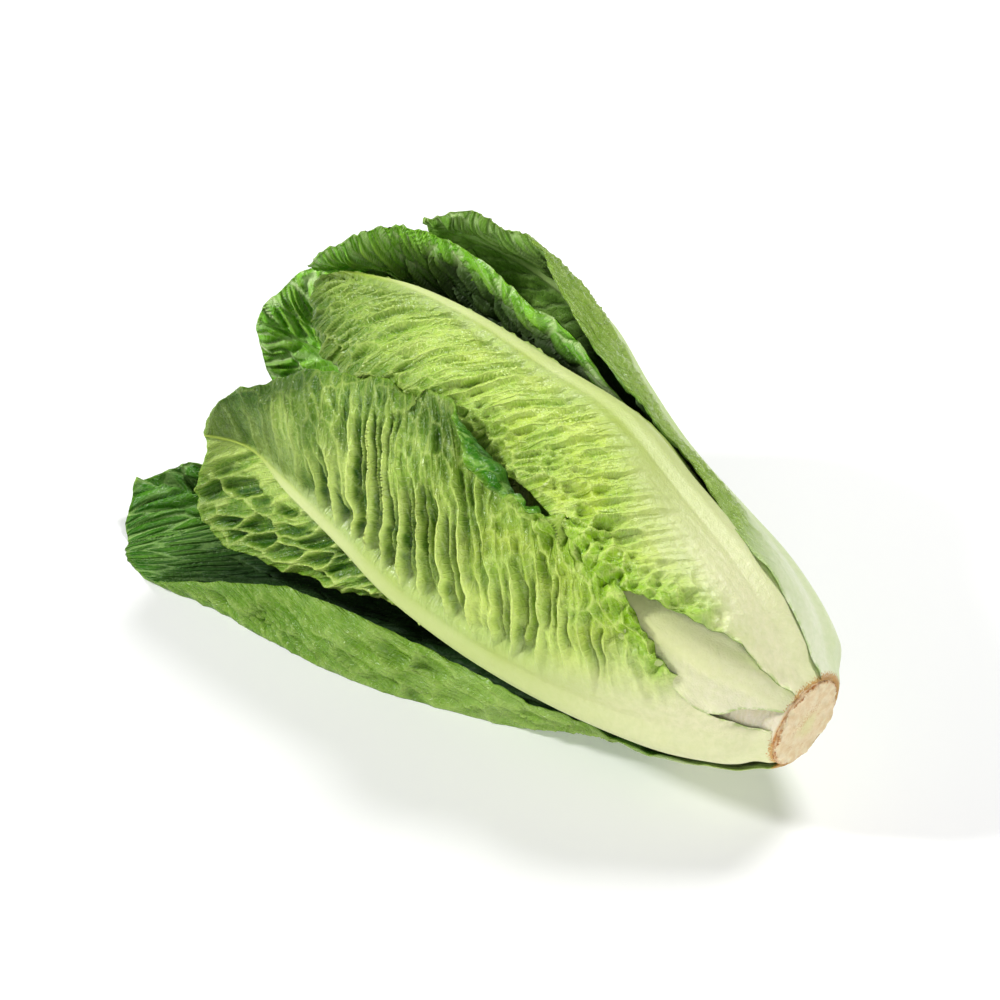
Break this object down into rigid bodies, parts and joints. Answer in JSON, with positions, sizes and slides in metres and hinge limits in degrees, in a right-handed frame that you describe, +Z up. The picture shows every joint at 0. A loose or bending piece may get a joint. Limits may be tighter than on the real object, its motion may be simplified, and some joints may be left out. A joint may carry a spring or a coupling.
{
  "type": "romaine lettuce head",
  "caption": "Whole head of romaine lettuce lying on its side: long overlapping leaves with pale midribs round a folded heart, on a short cut stem.",
  "frame": {"origin": "under the middle of the head's bounding box, on the surface it lies on", "axes": "+X toward the cut stem along the head, -X toward the leaf tips, -Y the front, +Z up from the surface"},
  "size_m": [0.343, 0.1888, 0.1427],
  "materials": {
    "outer_leaf": "dark green leaf blade, semi-gloss, blistered between fine pale veins",
    "wrapper_leaf": "light green outer face with a broad whitish green midrib",
    "face_leaf": "yellow-green pleated blade, semi-gloss, with a cream to pale yellow midrib",
    "pale_leaf": "pale yellow-green, thick and juicy toward the base",
    "heart_leaf": "pale yellow crinkled heart leaf",
    "cut_stem": "dry tan cut face with a browned rim"
  },
  "bodies": {
    "root": {"stem": "cut_stem", "leaf_bottom_outer": "outer_leaf", "leaf_back_outer": "wrapper_leaf", "leaf_back_upper": "outer_leaf", "leaf_back_lower": "outer_leaf", "leaf_front": "face_leaf", "leaf_top": "face_leaf", "leaf_front_inner": "pale_leaf", "leaf_heart_1": "pale_leaf", "leaf_heart_2": "pale_leaf", "leaf_heart_3": "heart_leaf", "leaf_heart_4": "heart_leaf", "leaf_heart_5": "heart_leaf", "leaf_heart_6": "heart_leaf", "leaf_heart_7": "heart_leaf", "leaf_heart_8": "heart_leaf"}
  },
  "joints": []
}
